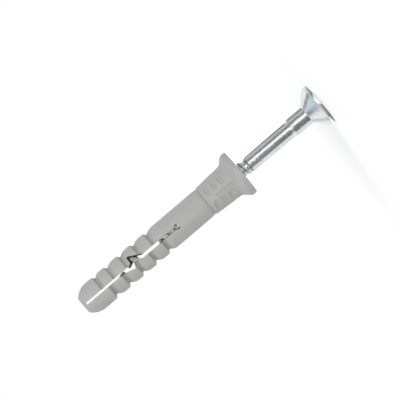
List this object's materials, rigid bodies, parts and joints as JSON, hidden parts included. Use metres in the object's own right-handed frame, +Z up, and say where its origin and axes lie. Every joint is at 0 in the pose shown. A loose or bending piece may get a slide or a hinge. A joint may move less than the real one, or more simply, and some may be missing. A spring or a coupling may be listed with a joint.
{
  "type": "hammer fixing plug",
  "caption": "Split nylon wall plug with a countersunk collar, ribbed neck and barbed expansion legs, with a countersunk hammer screw part-way in its bore.",
  "frame": {"origin": "centre of the flat of the screw head, on which the part stands", "axes": "+Z up along the plug from the screw head to the plug's tip; the split in the plug looks along Y; +X completes a right-handed frame"},
  "size_m": [0.0098, 0.0098, 0.0585],
  "materials": {
    "grey_nylon": "moulded matte",
    "zinc_steel": "bright zinc plating"
  },
  "bodies": {
    "plug": {"expansion_plug": "grey_nylon"},
    "screw": {"hammer_screw": "zinc_steel"}
  },
  "joints": [
    {"name": "screw_drive", "type": "slide", "parent": "plug", "child": "screw", "axis": [0, 0, 1], "range_m": [0, 0.0197]}
  ]
}
